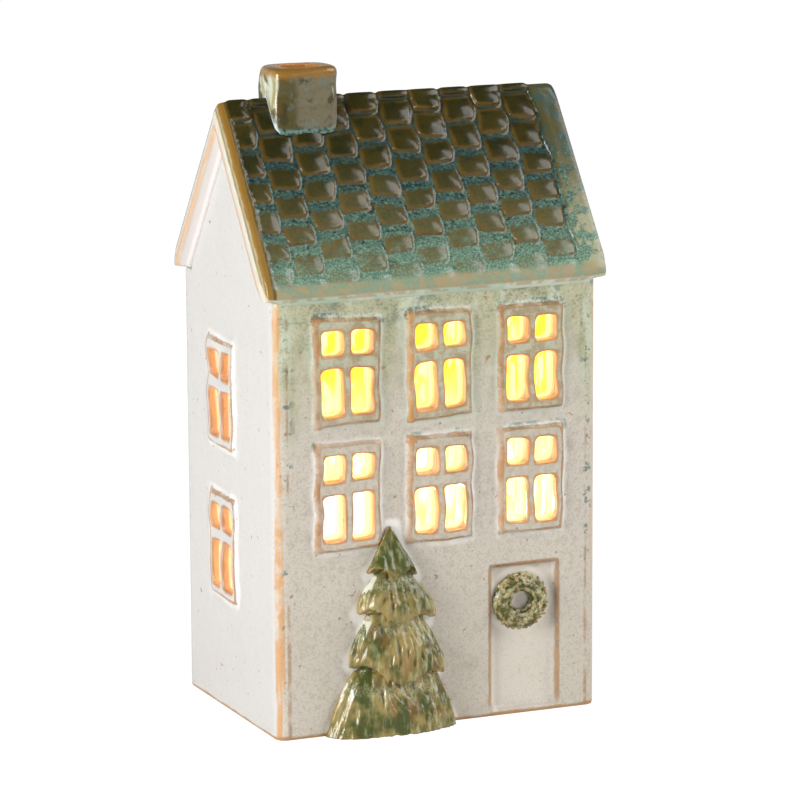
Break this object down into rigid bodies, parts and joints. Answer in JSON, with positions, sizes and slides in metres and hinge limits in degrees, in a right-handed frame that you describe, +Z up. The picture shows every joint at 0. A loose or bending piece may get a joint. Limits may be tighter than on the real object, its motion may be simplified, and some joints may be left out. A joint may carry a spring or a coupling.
{
  "type": "light-up house decoration",
  "caption": "Glazed ceramic town house with a tiled roof, open chimney, pierced windows, fir tree and door wreath in relief, lit from inside by a battery tealight.",
  "frame": {"origin": "underside of the base, midway between the outer faces of the front and back walls and of the two side walls", "axes": "+Z up, front wall with the door and tree faces -Y, +X to the viewer's right of the front"},
  "size_m": [0.1084, 0.0832, 0.1913],
  "materials": {
    "wall_glaze": "gloss white-grey reactive glaze over buff clay, celadon speckle under the eaves",
    "roof_glaze": "gloss olive glaze that breaks amber on edges and pools teal in the grooves",
    "chimney_glaze": "gloss olive and amber glaze",
    "tree_glaze": "gloss mossy green glaze with amber edges",
    "wreath_glaze": "gloss mossy green glaze with amber edges",
    "white_plastic": "satin moulded plastic",
    "flame_plastic": "translucent warm plastic, lit",
    "led_resin": "clear cast resin, lit",
    "tinned_wire": "tinned wire",
    "cell_steel": "satin nickel-plated steel",
    "contact_brass": "sprung strip",
    "black_plastic": "fine matt moulded plastic"
  },
  "bodies": {
    "house": {"house_walls": "wall_glaze", "roof": "roof_glaze", "chimney": "chimney_glaze", "tree_relief": "tree_glaze", "wreath_relief": "wreath_glaze"},
    "tealight": {"tealight_cup": "white_plastic", "flame_lens": "flame_plastic", "flicker_led": "led_resin", "led_anode_lead": "tinned_wire", "led_cathode_lead": "tinned_wire", "base_plate": "white_plastic", "coin_cell": "cell_steel", "negative_contact": "contact_brass", "positive_contact": "contact_brass", "lamp_contact": "contact_brass"},
    "switch": {"switch_slider": "black_plastic", "switch_blade": "contact_brass"},
    "battery_cover": {"battery_door": "white_plastic"}
  },
  "joints": [
    {"name": "tealight_slide", "type": "slide", "parent": "house", "child": "tealight", "axis": [0, 1, 0], "range_m": [0, 0.07]},
    {"name": "switch_slide", "type": "slide", "parent": "tealight", "child": "switch", "axis": [-1, 0, 0], "range_m": [0, 0.0024]},
    {"name": "battery_cover_twist", "type": "hinge", "parent": "tealight", "child": "battery_cover", "pos_m": [0, 0, 0.0076], "axis": [0, 0, 1], "range_deg": [0, 50]}
  ]
}
